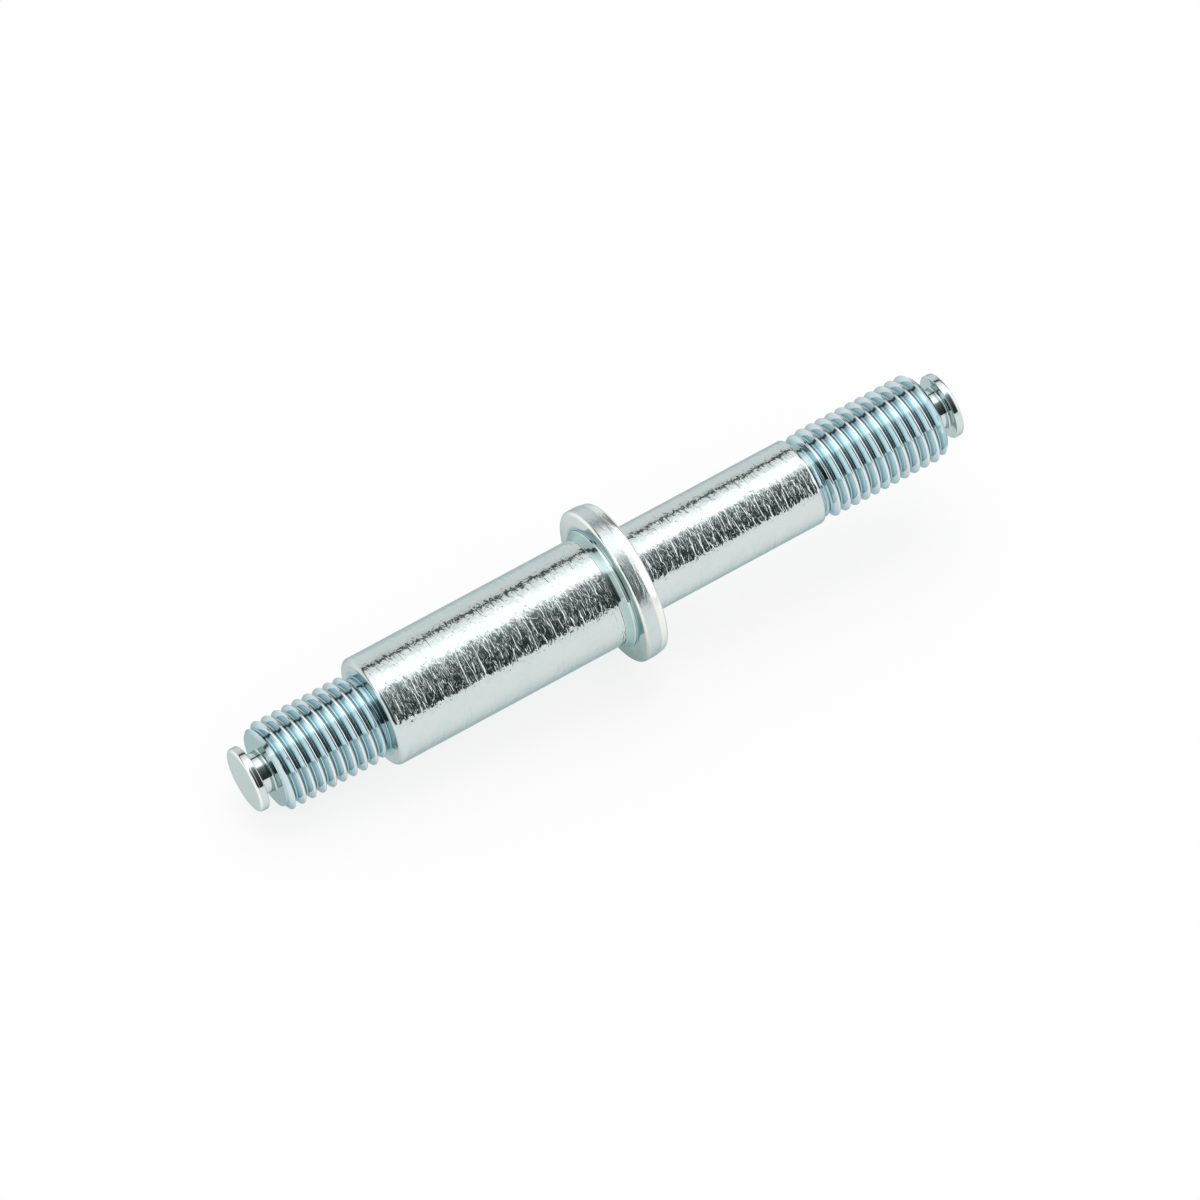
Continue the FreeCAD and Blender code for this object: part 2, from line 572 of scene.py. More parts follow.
@dataclass(frozen=True)
class ThinShank:
    """Thinner plain length on the bracket side, down to the undercut of its thread."""

    end_x: float
    start_x: float = SHANK_X
    r: float = SHANK_R
    end_rounding: float = 0.5
    undercut_r: float = UNDERCUT_R
    undercut_part: float = SHOULDER_PART
    undercut_rounding: float = 0.2

    def build(self, lathe: Lathe) -> Object:
        """Turns the thin shank.

        Args:
            lathe: makes the mesh.

        Returns:
            The shank, from the collar's foot to its undercut.
        """
        corners = [
            Corner(self.start_x, self.r),
            Corner(self.end_x, self.r, self.end_rounding),
            Corner(self.end_x, self.undercut_r, self.undercut_rounding),
            Corner(self.end_x + self.undercut_part, self.undercut_r),
        ]
        return lathe.turn("thin_shank", Outline(corners, arc_step=12.0))


class Wire:
    """A shader socket that arithmetic can be done on."""

    def __init__(self, graph: "Graph", socket: NodeSocket) -> None:
        """Keeps the socket and the graph that it is part of."""
        self.graph = graph
        self.socket = socket

    def __add__(self, other: "Wire | float") -> "Wire":
        """Adds."""
        return self.graph.math("ADD", self, other)

    def __radd__(self, other: float) -> "Wire":
        """Adds to a number."""
        return self.graph.math("ADD", other, self)

    def __sub__(self, other: "Wire | float") -> "Wire":
        """Subtracts."""
        return self.graph.math("SUBTRACT", self, other)

    def __rsub__(self, other: float) -> "Wire":
        """Subtracts from a number."""
        return self.graph.math("SUBTRACT", other, self)

    def __mul__(self, other: "Wire | float") -> "Wire":
        """Multiplies."""
        return self.graph.math("MULTIPLY", self, other)

    def __rmul__(self, other: float) -> "Wire":
        """Multiplies a number."""
        return self.graph.math("MULTIPLY", other, self)


class Graph:
    """A node tree that is built from Python expressions."""

    def __init__(self, tree: NodeTree) -> None:
        """Empties the tree and keeps it.

        Args:
            tree: the tree of a material or world.
        """
        self.tree = tree
        self.tree.nodes.clear()

    def node(self, kind: str, settings: dict[str, Any] | None = None,
             inputs: dict[int | str, Any] | None = None) -> Node:
        """Adds one node.

        Args:
            kind: the node's type.
            settings: its properties, which are set before its sockets.
            inputs: values or links of its sockets, by name or number.

        Returns:
            The new node.
        """
        node = self.tree.nodes.new(kind)
        for key, value in (settings or {}).items():
            if key == "stops":
                self.set_stops(node.color_ramp, value)
            else:
                setattr(node, key, value)
        for key, value in (inputs or {}).items():
            self.feed(node.inputs[key], value)
        return node

    def set_stops(self, ramp: ColorRamp, stops: Sequence[Point]) -> None:
        """Gives a ramp its grey stops.

        Args:
            ramp: the node's ramp, with its two first stops.
            stops: place and strength of each stop, in order.
        """
        while len(ramp.elements) < len(stops):
            ramp.elements.new(0.5)
        for element, (place, strength) in zip(ramp.elements, stops):
            element.position = place
            element.color = (strength, strength, strength, 1.0)

    def feed(self, socket: NodeSocket, value: Any) -> None:
        """Links a wire to a socket, or sets the socket's value.

        Args:
            socket: an input of a node.
            value: a wire, or what the socket is set to.
        """
        if isinstance(value, Wire):
            self.tree.links.new(value.socket, socket)
        else:
            socket.default_value = value

    def out(self, node: Node, key: int | str = 0) -> Wire:
        """Returns one output of a node as a wire."""
        return Wire(self, node.outputs[key])

    def finish(self, shader: Node, kind: str = "ShaderNodeOutputMaterial") -> None:
        """Links a shader to a new output node of the given type."""
        self.node(kind, None, {"Surface": self.out(shader)})

    def math(self, operation: str, *values: Wire | float) -> Wire:
        """Returns the result of one Math node."""
        return self.out(self.node("ShaderNodeMath", {"operation": operation}, dict(enumerate(values))))

    def blend(self, first: Any, second: Any, factor: Wire | float) -> Wire:
        """Returns a colour between two colours."""
        return self.out(self.node("ShaderNodeMix", {"data_type": "RGBA", "clamp_factor": True},
                                  {0: factor, 6: first, 7: second}), 2)

    def ramp(self, value: Wire, low: float, high: float) -> Wire:
        """Returns 0 at low and 1 at high, eased between them, with low on either side of high."""
        return self.out(self.node("ShaderNodeMapRange", {"interpolation_type": "SMOOTHSTEP"},
                                  {0: value, 1: low, 2: high, 3: 0.0, 4: 1.0}))

    def stretched(self, vector: Wire, scale: tuple[float, float, float]) -> Wire:
        """Returns a vector multiplied by a scale on each axis."""
        return self.out(self.node("ShaderNodeVectorMath", {"operation": "MULTIPLY"}, {0: vector, 1: scale}))

    def scaled(self, vector: Wire, factor: Wire) -> Wire:
        """Returns a vector or colour multiplied by one value."""
        return self.out(self.node("ShaderNodeVectorMath", {"operation": "SCALE"},
                                  {0: vector, "Scale": factor}))


def new_material(name: str) -> tuple[Material, Graph]:
    """Makes an empty material.

    Args:
        name: the material's name.

    Returns:
        The material and the graph of its nodes.
    """
    material = bpy.data.materials.new(name)
    material.use_nodes = True
    return material, Graph(material.node_tree)


@dataclass(frozen=True)
class Band:
    """A range of a value with soft ends.

    Attributes:
        low: where it starts.
        high: where it ends.
        soft: width that it fades over outside both.
    """

    low: float
    high: float
    soft: float

    def mask(self, graph: Graph, value: Wire) -> Wire:
        """Returns 1 inside the band and 0 outside it."""
        return (graph.ramp(value, self.low - self.soft, self.low)
                * (1.0 - graph.ramp(value, self.high, self.high + self.soft)))


@dataclass(frozen=True)
class Marks:
    """Fine marks of one kind, cut out of a stretched noise.

    Attributes:
        stretch: scale of the noise along the axis and across it; a small one draws marks out.
        scale: marks per millimetre.
        detail: how many finer layers are laid over them.
        roughness: how strong those layers are.
        distortion: how much the marks curl.
        edge: noise values between which a mark rises, or None for the noise as it is.
    """

    stretch: Point
    scale: float
    detail: float
    roughness: float
    distortion: float = 0.0
    edge: Point | None = None

    def over(self, graph: Graph, place: Wire) -> Wire:
        """Lays the marks over a place.

        Args:
            graph: the material's graph.
            place: the place in millimetres.

        Returns:
            The marks' height between 0 and 1.
        """
        along, across = self.stretch
        noise = graph.out(graph.node("ShaderNodeTexNoise", {"noise_dimensions": "3D"}, {
            "Vector": graph.stretched(place, (along, across, across)), "Scale": self.scale,
            "Detail": self.detail, "Roughness": self.roughness, "Distortion": self.distortion}), "Fac")
        return noise if self.edge is None else graph.ramp(noise, *self.edge)


@dataclass(frozen=True)
class Surface:
    """Shader values that the plating's looks are worked out from.

    Attributes:
        graph: the material's graph.
        place: place on the bolt in millimetres, along its own axes.
        x: place along the axis.
        height: place above the axis.
        r: distance from the axis.
        cloud: broad cloudy noise.
    """

    graph: Graph
    place: Wire
    x: Wire
    height: Wire
    r: Wire
    cloud: Wire


@dataclass(frozen=True)
class Area:
    """A part of the bolt's surface.

    Attributes:
        along: its stretch of the axis.
        out: radius where it starts and radius where it is full, or None for every radius.
    """

    along: Band
    out: Point | None = None

    def mask(self, at: Surface) -> Wire:
        """Returns 1 in the area and 0 outside it."""
        along = self.along.mask(at.graph, at.x)
        return along if self.out is None else along * at.graph.ramp(at.r, *self.out)


@dataclass(frozen=True)
class ZincPlating:
    """Bright zinc plating with a blue-green passivation tint.

    Attributes:
        recess_shade_and_stain: painted shade at the bottom of the grooves and beside the ring on the collar,
            and the colour of the cloudy stains.
        rubbed: colour of the crests, where the tint has rubbed off.
        handled: colour of the faint marks on the plain lengths.
        faced: colour of the flat end faces, which the tint hardly holds on.
        painted_face_shade: painted shade low on the collar's face, which grows darker towards its bottom.
        foot: painted shade in the hollow at the journal's foot.
        worn: colour of the collar's worn bracket edge.
        grazing: tint of every surface that is seen edge on.
        crinkle_height: height of the turned crinkle, in metres.
        rim_crinkle: share of it that the collar's rim has.
        grain_height: share of it that all of the bolt has as grain.
        crest_r: radii between which a thread's crest starts to be rubbed and wholly is.
        groove_shade_r: radii between which a thread's flank goes to the painted shade of the grooves.
        face_shade_height: heights between which the collar's face goes from its painted shade to faced.
        handling: the marks of handling, turned askew to the axis by handling_turn in degrees.
        crinkles: kinds of the turned crinkle, each with its weight.
        stained_cloud: values of the clouds between which the colour deepens.
        rubbed_cloud: values between which it pales.
    """

    plain: Colour = (0.65, 0.722, 0.715, 1.0)
    flank: Colour = (0.63, 0.75, 0.785, 1.0)
    # Painted shade for the grooves and beside the collar's ring, also the colour of the random cloudy stains
    recess_shade_and_stain: Colour = (0.40, 0.57, 0.61, 1.0)
    rubbed: Colour = (0.86, 0.835, 0.825, 1.0)
    handled: Colour = (0.70, 0.66, 0.64, 1.0)
    faced: Colour = (0.97, 0.955, 0.92, 1.0)
    # Painted shade low on the collar's face
    painted_face_shade: Colour = (0.40, 0.47, 0.44, 1.0)
    # Painted shade in the hollow at the journal's foot
    foot: Colour = (0.42, 0.57, 0.555, 1.0)
    worn: Colour = (0.92, 0.92, 0.89, 1.0)
    grazing: Colour = (0.46, 0.58, 0.585, 1.0)
    smooth_roughness: float = 0.045
    plain_roughness: float = 0.06
    speckle_roughness: float = 0.04
    crest_roughness: float = 0.17
    rim_roughness: float = 0.27
    cloud_roughness: float = 0.04
    crinkle_height: float = 0.05 * MM
    rim_crinkle: float = 0.5
    grain_height: float = 0.02
    shafts: tuple[Area, Area] = (Area(Band(-45.0, -1.8, 0.15), (9.7, 9.9)), Area(Band(5.0, 39.1, 0.3)))
    threads: tuple[Area, Area] = (Area(Band(-66.4, -46.0, 0.1)), Area(Band(39.8, 64.7, 0.1)))
    buttons: tuple[Area, Area] = (Area(Band(-80.0, -70.6, 0.3)), Area(Band(68.9, 80.0, 0.3)))
    rim: Area = Area(Band(0.5, 3.9, 0.3), (13.9, 14.2))
    hollow: Area = Area(Band(-1.55, -0.5, 0.1))
    # Painted shade on the collar's face next to the low ring
    shade_beside_ring: Area = Area(Band(-0.05, 0.1, 0.05), (12.4, 11.2))
    collar_face: Area = Area(Band(-0.05, 0.3, 0.05), (11.1, 12.0))
    worn_edge: Area = Area(Band(3.0, 4.6, 0.5), (12.8, 13.4))
    crest_r: Point = (7.9, 7.985)
    # Radii over which painted shade fills the bottom of the grooves
    groove_shade_r: Point = (7.5, 6.95)
    # Heights over which the painted shade on the collar's face fades out upwards
    face_shade_height: Point = (-13.0, 12.0)
    handling: Marks = Marks((0.35, 1.5), 1.3, 3.0, 0.6, 0.8, (0.6, 0.72))
    handling_turn: Point = (24.0, 31.0)
    handling_share: float = 0.5
    crinkles: tuple[tuple[Marks, float], ...] = (
        (Marks((1.0, 0.22), 0.95, 1.0, 0.4, 0.5, (0.42, 0.57)), 0.6),
        (Marks((1.0, 0.45), 1.7, 1.0, 0.5, 0.6, (0.45, 0.59)), 0.3),
        (Marks((1.0, 0.12), 1.5, 1.0, 0.4, 0.1, (0.56, 0.68)), 0.6),
        (Marks((1.0, 0.45), 2.0, 0.0, 0.5, 0.5), 0.75))
    speckle: Marks = Marks((1.0, 0.7), 4.5, 2.0, 0.6, 0.0, (0.46, 0.62))
    clouds: Marks = Marks((1.0, 1.0), 0.35, 3.0, 0.6)
    grain: Marks = Marks((1.0, 1.0), 3.0, 3.0, 0.6)
    stained_cloud: Point = (0.5, 0.8)
    stained_share: float = 0.15
    rubbed_cloud: Point = (0.62, 0.35)
    rubbed_share: float = 0.08
    # How much painted shade lies beside the collar's ring
    ring_shade_share: float = 0.8

    def make(self) -> Material:
        """Makes the plating.

        Returns:
            The finished material.
        """
        material, graph = new_material("zinc_plating")
        at = self.surface(graph)
        graph.finish(graph.node("ShaderNodeBsdfPrincipled", None, {
            "Base Color": self.colour(at),
            "Metallic": 1.0,
            "Specular Tint": self.grazing,
            "Roughness": self.roughness(at),
            "Normal": self.normal(at),
        }))
        return material

    def surface(self, graph: Graph) -> Surface:
        """Turns the mesh's own coordinates to the bolt's axes.

        Args:
            graph: the material's graph.

        Returns:
            The shader values that the looks are worked out from.
        """
        place = graph.out(graph.node("ShaderNodeMapping", {"vector_type": "TEXTURE"}, {
            "Vector": graph.out(graph.node("ShaderNodeTexCoord"), "Object"),
            "Location": REST.offset,
            "Rotation": (0.0, -REST.tilt, 0.0),
            "Scale": (MM, MM, MM),
        }))
        parts = graph.node("ShaderNodeSeparateXYZ", None, {0: place})
        x, y, z = (graph.out(parts, index) for index in range(3))
        r = graph.math("SQRT", y * y + z * z)
        return Surface(graph, place, x, z, r, self.clouds.over(graph, place))

    def both(self, at: Surface, areas: tuple[Area, Area]) -> Wire:
        """Returns the mask of two areas together."""
        return at.graph.math("MAXIMUM", areas[0].mask(at), areas[1].mask(at))

    def crest(self, at: Surface) -> Wire:
        """Returns the mask of the threads' crests."""
        return self.both(at, self.threads) * at.graph.ramp(at.r, *self.crest_r)

    def handling_marks(self, at: Surface) -> Wire:
        """Returns the marks of handling, on the place turned askew to the axis."""
        turn = (0.0, math.radians(self.handling_turn[0]), math.radians(self.handling_turn[1]))
        return self.handling.over(at.graph, at.graph.out(at.graph.node(
            "ShaderNodeMapping", {"vector_type": "POINT"}, {"Vector": at.place, "Rotation": turn})))

    def colour(self, at: Surface) -> Wire:
        """Works out the plating's colour, with painted shade in the grooves, beside the collar's ring, in
        the hollow at the journal's foot and low on the collar's face.

        Args:
            at: the shader values over the surface.

        Returns:
            The colour over the surface.
        """
        graph, threads = at.graph, self.both(at, self.threads)
        # Painted shade at the bottom of the grooves and beside the collar's ring, plus random cloudy stains
        shade_and_stain = (threads * graph.ramp(at.r, *self.groove_shade_r) + self.shade_beside_ring.mask(at) * self.ring_shade_share
                 + graph.ramp(at.cloud, *self.stained_cloud) * self.stained_share)
        # Painted shade on the collar's face: darker towards its bottom, the face colour at its top
        faced = graph.blend(self.painted_face_shade, self.faced, graph.ramp(at.height, *self.face_shade_height))
        marks = self.both(at, self.shafts) * self.handling_marks(at) * self.handling_share
        rubbing = self.crest(at) + graph.ramp(at.cloud, *self.rubbed_cloud) * self.rubbed_share
        colour = graph.blend(self.plain, self.flank, threads)
        for coat, share in (
                (self.handled, marks),
                # Painted shade in the recesses, with the random cloudy stains
                (self.recess_shade_and_stain, shade_and_stain),
                # The collar's face with its painted shade
                (faced, self.collar_face.mask(at)),
                (self.faced, self.both(at, self.buttons)),
                # Painted shade in the hollow at the journal's foot
                (self.foot, self.hollow.mask(at)),
                (self.worn, self.worn_edge.mask(at)),
                (self.rubbed, rubbing)):
            colour = graph.blend(colour, coat, share)
        return colour

    def roughness(self, at: Surface) -> Wire:
        """Works out the roughness.

        Args:
            at: the shader values over the surface.

        Returns:
            The roughness over the surface.
        """
        shaft = self.both(at, self.shafts)
        return (self.smooth_roughness + shaft * (self.plain_roughness - self.smooth_roughness)
                + self.rim.mask(at) * (self.rim_roughness - self.smooth_roughness)
                + self.crest(at) * (self.crest_roughness - self.smooth_roughness)
                + (at.cloud - 0.5) * self.cloud_roughness
                + shaft * self.speckle.over(at.graph, at.place) * self.speckle_roughness)

    def normal(self, at: Surface) -> Wire:
        """Raises the crinkle of the plain lengths and the rim, and the faint grain of the rest.

        Args:
            at: the shader values over the surface.

        Returns:
            The normal over the surface.
        """
        layers = [marks.over(at.graph, at.place) * weight for marks, weight in self.crinkles]
        crinkled = self.both(at, self.shafts) + self.rim.mask(at) * self.rim_crinkle
        grain = self.grain.over(at.graph, at.place) * self.grain_height
        bump = at.graph.node("ShaderNodeBump", None, {
            "Strength": 1.0, "Distance": self.crinkle_height,
            "Height": crinkled * sum(layers[1:], layers[0]) + grain})
        return at.graph.out(bump, "Normal")


@dataclass
class PedalBolt:
    """The whole bolt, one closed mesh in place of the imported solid.

    Attributes:
        pedal_groove_x: where a groove of the pedal thread passes straight above the axis.
        bracket_groove_x: where one of the bracket thread does.
        merge: distance at which points of neighbouring lengths are one.
        bridge_reach: how far from its middle a gap's open edges may lie.
    """

    pedal_face_x: float = -66.5
    shoulder_x: float = -46.0
    shank_end_x: float = 39.7
    bracket_face_x: float = 64.8
    pedal_groove_x: float = -67.0667
    bracket_groove_x: float = 64.8
    smooth_angle: float = 38.0
    merge: float = 0.001
    bridge_reach: float = 0.12
    lathe: Lathe = field(default_factory=Lathe)

    def build(self) -> Object:
        """Builds the bolt from its lengths, closes it, lays it down and plates it.

        Returns:
            The finished bolt.
        """
        lengths = (
            ClipEnd(End.PEDAL, self.pedal_face_x),
            RolledThread(End.PEDAL, self.pedal_face_x, self.shoulder_x, self.pedal_groove_x),
            Journal(self.shoulder_x),
            Collar(),
            ThinShank(self.shank_end_x),
            RolledThread(End.BRACKET, self.bracket_face_x, self.shank_end_x, self.bracket_groove_x),
            ClipEnd(End.BRACKET, self.bracket_face_x),
        )
        parts = [length.build(self.lathe) for length in lengths]
        for part in parts:
            LOG.info("turned %s: %d faces", part.name, len(part.data.polygons))
        bolt = self.join(parts)
        self.close()
        self.lay_down(bolt)
        bolt.data.materials.clear()
        bolt.data.materials.append(ZincPlating().make())
        return bolt

    def join(self, parts: Sequence[Object]) -> Object:
        """Joins the lengths into one object.

        Args:
            parts: the lengths in order along the axis.

        Returns:
            The joined bolt, still open at the ends of its threads.
        """
        deselect_all()
        for part in parts:
            part.select_set(True)
        bpy.context.view_layer.objects.active = parts[0]
        bpy.ops.object.join()
        bolt = bpy.context.object
        bolt.name = "zinc_plated_bolt"
        bolt.data.name = "zinc_plated_bolt"
        return bolt

    def close(self) -> None:
        """Merges the rings that neighbours share and bridges each thread to what it meets."""
        edit_all()
        bpy.ops.mesh.remove_doubles(threshold=self.merge * MM)
        gap = (SHOULDER_PART + THREAD_PART) / 2.0
        for x in (self.pedal_face_x, self.shoulder_x - gap, self.shank_end_x + gap, self.bracket_face_x):
            self.select_open_edges(x)
            bpy.ops.mesh.bridge_edge_loops()
        bpy.ops.mesh.select_all(action="SELECT")
        bpy.ops.mesh.normals_make_consistent(inside=False)
        bpy.ops.object.mode_set(mode="OBJECT")
        bpy.ops.object.shade_smooth_by_angle(angle=math.radians(self.smooth_angle))

    def select_open_edges(self, x: float) -> None:
        """Selects the edges that border one face only, near a place along the axis.

        Args:
            x: the place along the axis.
        """
        bpy.ops.mesh.select_all(action="DESELECT")
        bpy.ops.mesh.select_mode(type="EDGE")
        mesh = bmesh.from_edit_mesh(bpy.context.edit_object.data)
        for edge in mesh.edges:
            near = all(abs(vertex.co.x / MM - x) < self.bridge_reach for vertex in edge.verts)
            edge.select_set(edge.is_boundary and near)
        bmesh.update_edit_mesh(bpy.context.edit_object.data)

    def lay_down(self, bolt: Object) -> None:
        """Tips the bolt to its rest and puts its place into its mesh.

        Args:
            bolt: the closed bolt, along the X axis.
        """
        deselect_all()
        bolt.select_set(True)
        bpy.context.view_layer.objects.active = bolt
        bolt.matrix_world = REST.placement() @ bolt.matrix_world
        bpy.ops.object.transform_apply(location=True, rotation=True, scale=True)


@dataclass(frozen=True)
class PhotoCamera:
    """Camera at the photograph's viewing angle.

    Attributes:
        azimuth: angle round the bolt, in degrees.
        elevation: angle above the floor, in degrees.
        distance: from the bolt, in metres.
        lens: focal length in millimetres.
        aim: point of the bolt's axis that the view is set by, in metres.
        aside: how far the middle of the picture lies right of and below that point.
    """

    azimuth: float = -31.7
    elevation: float = 49.0
    distance: float = 1.684
    lens: float = 300.0
    sensor_width: float = 36.0
    clip: Point = (0.01, 50.0)
    aim: tuple[float, float, float] = (-0.0021406, 0.0, 0.0139009)
    aside: Point = (0.002004, 0.000668)

    def build(self) -> Object:
        """Adds the camera and makes it the scene's own.

        Returns:
            The camera.
        """
        turn = Matrix.Rotation(math.radians(self.azimuth), 3, "Z") @ Matrix.Rotation(
            math.radians(90.0 - self.elevation), 3, "X")
        right, up, back = turn.col[0], turn.col[1], turn.col[2]
        place = Vector(self.aim) + right * self.aside[0] - up * self.aside[1] + back * self.distance
        deselect_all()
        bpy.ops.object.camera_add(location=place, rotation=turn.to_euler())
        camera = bpy.context.object
        camera.name = "photo_camera"
        camera.data.sensor_width = self.sensor_width
        camera.data.lens = self.lens
        camera.data.clip_start, camera.data.clip_end = self.clip
        bpy.context.scene.camera = camera
        return camera


@dataclass(frozen=True)
class LightTent:
    """Soft light tent, a tube round the bolt's axis that only reflections see.

    Angles go round the tube in degrees, from 0 at the camera's side up to 90 behind the bolt,
    and places run along it in metres. Its middle has a dark opening where the camera stands,
    with two dim strips that give the crinkle its glint, a bright roof, and a dark seam behind.

    Attributes:
        camera_lean: angle between straight up and the camera, in degrees.
        glow: angle and strength of each stop of the middle's glow.
        left: places between which the middle gives way to the left side.
        right: places between which it gives way to the right side.
        side_top: angles between which the sides' glow stops.
        beyond: range above that, where the right side glows less.
        far_seam: range of the right side's own dark seam.
        far_light: range of the right side's extra light.
        low_side: range of the right side that is dimmer.
        strip_span: range of the strips round the tube.
        strip_climb: angles between which they gain strip_rise over strip_glow.
        strip_gain: what they add for the glow that they lie in.
        strip_limit: most that the middle reaches with them.
        shade: colour of the dim parts, white by the end of the strengths shade_fades.
    """

    r: float = 1.5
    length: float = 9.0
    sides: int = 256
    camera_lean: float = 35.43
    glow: tuple[Point, ...] = (
        (-180.0, 0.95), (-46.5, 0.95), (-44.0, 0.035), (-24.0, 0.04), (-8.0, 0.075), (8.0, 0.135),
        (16.0, 0.21), (24.0, 0.42), (30.0, 1.2), (35.0, 1.52), (55.0, 1.52), (64.0, 1.22), (76.0, 0.96),
        (82.0, 0.8), (85.5, 0.09), (92.5, 0.09), (95.0, 0.72), (112.0, 0.88), (135.0, 0.95), (180.0, 1.3))
    left: Point = (-3.0, -1.2)
    right: Point = (0.76, 0.91)
    left_glow: float = 1.0
    right_glow: float = 1.35
    side_top: Point = (60.0, 61.0)
    beyond: Band = Band(60.0, 114.0, 8.0)
    beyond_glow: float = 0.8
    far_seam: Band = Band(80.0, 114.0, 5.0)
    far_seam_depth: float = 0.72
    far_light: Band = Band(40.0, 64.0, 14.0)
    far_light_glow: float = 0.35
    low_side: Band = Band(-150.0, -52.0, 6.0)
    low_side_depth: float = 0.4
    strips: tuple[Band, Band] = (Band(-0.1, 0.17, 0.01), Band(0.64, 0.78, 0.01))
    strip_span: Band = Band(-44.0, 24.0, 4.0)
    strip_glow: float = 0.17
    strip_climb: Point = (-34.0, -4.0)
    strip_rise: float = 0.17
    strip_gain: float = 1.6
    strip_limit: float = 1.6
    shade: Colour = (0.84, 0.97, 1.0, 1.0)
    shade_fades: Point = (0.1, 0.6)

    def build(self) -> Object:
        """Adds the tent.

        Returns:
            The tube, seen by reflections alone.
        """
        deselect_all()
        bpy.ops.mesh.primitive_cylinder_add(
            vertices=self.sides, radius=self.r, depth=self.length, end_fill_type="NOTHING",
            location=(0.0, 0.0, 0.0), rotation=(0.0, math.pi / 2.0, 0.0))
        tent = bpy.context.object
        tent.name = "light_tent"
        bpy.ops.object.transform_apply(location=True, rotation=True, scale=True)
        tent.matrix_world = REST.placement()
        tent.visible_camera = False
        tent.visible_diffuse = False
        tent.visible_transmission = False
        tent.visible_shadow = False
        tent.data.materials.append(self.cloth())
        return tent

    def cloth(self) -> Material:
        """Makes the cloth's glow, by the angle round the axis and the place along it.

        Returns:
            The glowing material, tinted where it is dim.
        """
        material, graph = new_material("tent_cloth")
        material.cycles.emission_sampling = "NONE"
        parts = graph.node("ShaderNodeSeparateXYZ", None,
                           {0: graph.out(graph.node("ShaderNodeTexCoord"), "Object")})
        x, y, z = (graph.out(parts, index) for index in range(3))
        lean = math.radians(self.camera_lean)
        towards = z * math.cos(lean) - y * math.sin(lean)
        upwards = y * math.cos(lean) + z * math.sin(lean)
        angle = graph.math("ARCTAN2", upwards, towards) * math.degrees(1.0)
        strength = self.strength(graph, x, angle)
        colour = graph.blend(self.shade, WHITE, graph.ramp(strength, *self.shade_fades))
        graph.finish(graph.node("ShaderNodeEmission", None, {"Color": graph.scaled(colour, strength)}))
        return material

    def strength(self, graph: Graph, x: Wire, angle: Wire) -> Wire:
        """Works out how strongly the cloth glows.

        Args:
            graph: the cloth's graph.
            x: place along the tent.
            angle: angle round it.

        Returns:
            The strength over the cloth.
        """
        left = 1.0 - graph.ramp(x, *self.left)
        right = graph.ramp(x, *self.right)
        sides = ((left * self.left_glow + right * self.right_glow)
                 * (1.0 - graph.ramp(angle, *self.side_top)))
        beyond = right * self.beyond.mask(graph, angle) * self.beyond_glow
        far_seam = right * self.far_seam.mask(graph, angle) * self.far_seam_depth
        far_light = right * self.far_light.mask(graph, angle) * self.far_light_glow
        low_side = right * self.low_side.mask(graph, angle) * self.low_side_depth
        middle = graph.math("MINIMUM", self.middle(graph, x, angle), self.strip_limit)
        lit = graph.math("MAXIMUM", middle, graph.math("MAXIMUM", sides, beyond))
        return (lit + far_light) * (1.0 - far_seam) * (1.0 - low_side)

    def middle(self, graph: Graph, x: Wire, angle: Wire) -> Wire:
        """Works out the glow of the tent's middle, with its strips.

        Args:
            graph: the cloth's graph.
            x: place along the tent.
            angle: angle round it.

        Returns:
            The strength as if the middle went on to both sides.
        """
        stops = [((turn + 180.0) / 360.0, strength) for turn, strength in self.glow]
        glow = graph.out(graph.node("ShaderNodeValToRGB", {"stops": stops},
                                    {0: (angle + 180.0) * (1.0 / 360.0)}))
        strips = self.strips[0].mask(graph, x) + self.strips[1].mask(graph, x)
        strip_light = (self.strip_glow + graph.ramp(angle, *self.strip_climb) * self.strip_rise
                       + glow * self.strip_gain)
        return glow + strips * self.strip_span.mask(graph, angle) * strip_light


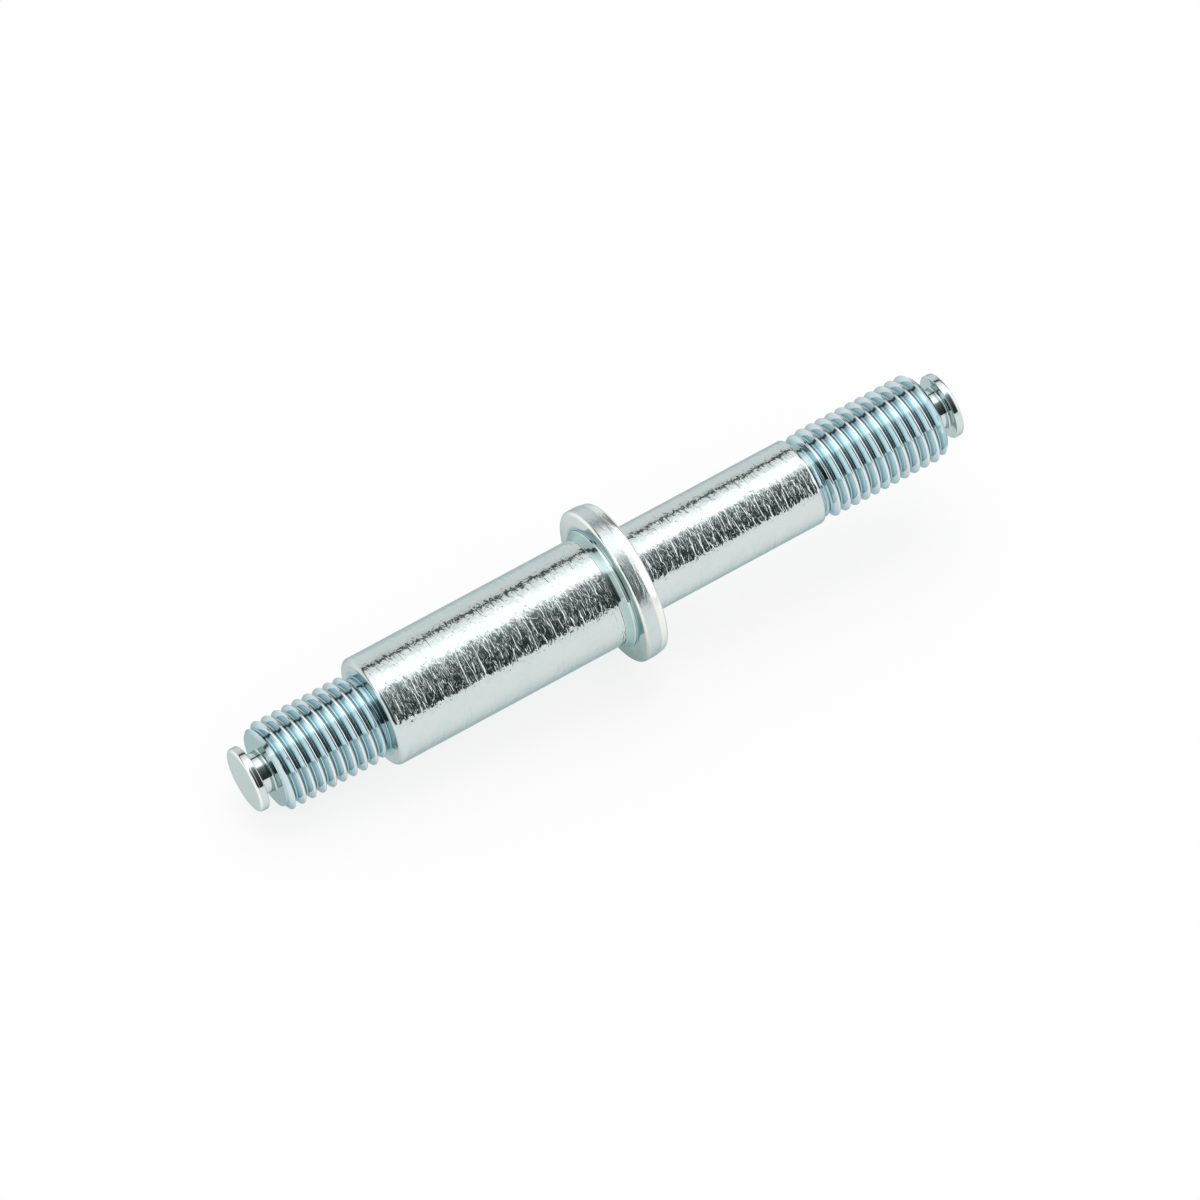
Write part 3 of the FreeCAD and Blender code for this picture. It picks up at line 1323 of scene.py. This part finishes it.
@dataclass(frozen=True)
class Studio:
    """White floor, plain white surroundings, a soft lamp and the light tent over the bolt.

    Attributes:
        floor_gap: how far the floor lies below the bolt, in metres.
        floor_tone: share of its white that shadows can take away where it is seen.
        floor_white: how white it is where it lights the bolt's underside.
        world_fill: strength of the surroundings where they light the floor.
        sun_share: share of the floor's light that the lamp gives.
        sun_turn: how far the lamp is tipped about X and Y, in degrees.
    """

    floor_size: float = 14.0
    floor_gap: float = 0.02 * MM
    floor_tone: float = 0.2
    floor_white: float = 0.93
    world_fill: float = 0.78
    sun_share: float = 0.22
    sun_spread: float = 50.0
    sun_turn: Point = (-18.0, 14.0)
    light_tent: LightTent = LightTent()

    def build(self) -> list[Object]:
        """Lights the scene.

        Returns:
            The stage objects.
        """
        self.surroundings()
        self.sun()
        stage = [self.floor(), self.light_tent.build()]
        return stage

    def seen_directly(self, graph: Graph) -> Wire:
        """Tells the rays that look at a surface from those that light others by it.

        Args:
            graph: the graph of a material or the world.

        Returns:
            1 for rays from the camera, from reflections and through glass, else 0.
        """
        path = graph.node("ShaderNodeLightPath")
        seen = (graph.out(path, "Is Camera Ray") + graph.out(path, "Is Glossy Ray")
                + graph.out(path, "Is Transmission Ray"))
        return graph.math("MINIMUM", seen, 1.0)

    def surroundings(self) -> None:
        """Makes the world white, and a little dimmer where it lights the floor."""
        world = bpy.data.worlds.new("white_surroundings")
        bpy.context.scene.world = world
        world.use_nodes = True
        graph = Graph(world.node_tree)
        strength = self.world_fill + self.seen_directly(graph) * (1.0 - self.world_fill)
        graph.finish(graph.node("ShaderNodeBackground", None, {"Color": WHITE, "Strength": strength}),
                     "ShaderNodeOutputWorld")

    def sun(self) -> None:
        """Adds the soft overhead lamp that gives the floor its shadow."""
        deselect_all()
        turn = (math.radians(self.sun_turn[0]), math.radians(self.sun_turn[1]), 0.0)
        bpy.ops.object.light_add(type="SUN", location=(0.3, 0.5, 1.0), rotation=turn)
        lamp = bpy.context.object
        lamp.name = "overhead_lamp"
        lamp.data.energy = math.pi * self.sun_share
        lamp.data.angle = math.radians(self.sun_spread)
        lamp.visible_glossy = False

    def floor(self) -> Object:
        """Adds the floor.

        Returns:
            The white floor, just below the bolt.
        """
        deselect_all()
        bpy.ops.mesh.primitive_plane_add(size=self.floor_size, location=(0.0, 0.0, -self.floor_gap))
        floor = bpy.context.object
        floor.name = "white_floor"
        bpy.ops.object.transform_apply(location=True, rotation=True, scale=True)
        material, graph = new_material("white_floor")
        matt = graph.node("ShaderNodeBsdfDiffuse", None, {"Color": (self.floor_tone,) * 3 + (1.0,)})
        glow = graph.node("ShaderNodeEmission", None, {"Color": WHITE, "Strength": 1.0 - self.floor_tone})
        seen = graph.node("ShaderNodeAddShader", None, {0: graph.out(matt), 1: graph.out(glow)})
        lighting = graph.node("ShaderNodeBsdfDiffuse", None, {"Color": (self.floor_white,) * 3 + (1.0,)})
        graph.finish(graph.node("ShaderNodeMixShader", None, {
            0: self.seen_directly(graph), 1: graph.out(lighting), 2: graph.out(seen)}))
        floor.data.materials.append(material)
        return floor


def main() -> None:
    """Builds the camera, the studio and the bolt."""
    logging.basicConfig(level=logging.INFO, format="%(name)s: %(message)s")
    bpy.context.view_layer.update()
    bpy.context.scene.view_settings.view_transform = "Standard"
    camera = PhotoCamera().build()
    LOG.info("camera %s at %s", camera.name, tuple(round(value, 4) for value in camera.location))
    for item in Studio().build():
        LOG.info("stage %s", item.name)
    bolt = PedalBolt().build()
    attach(bolt, "root")
    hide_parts(NODE)
    LOG.info("bolt %s: %d faces", bolt.name, len(bolt.data.polygons))


if __name__ == "__main__":
    main()
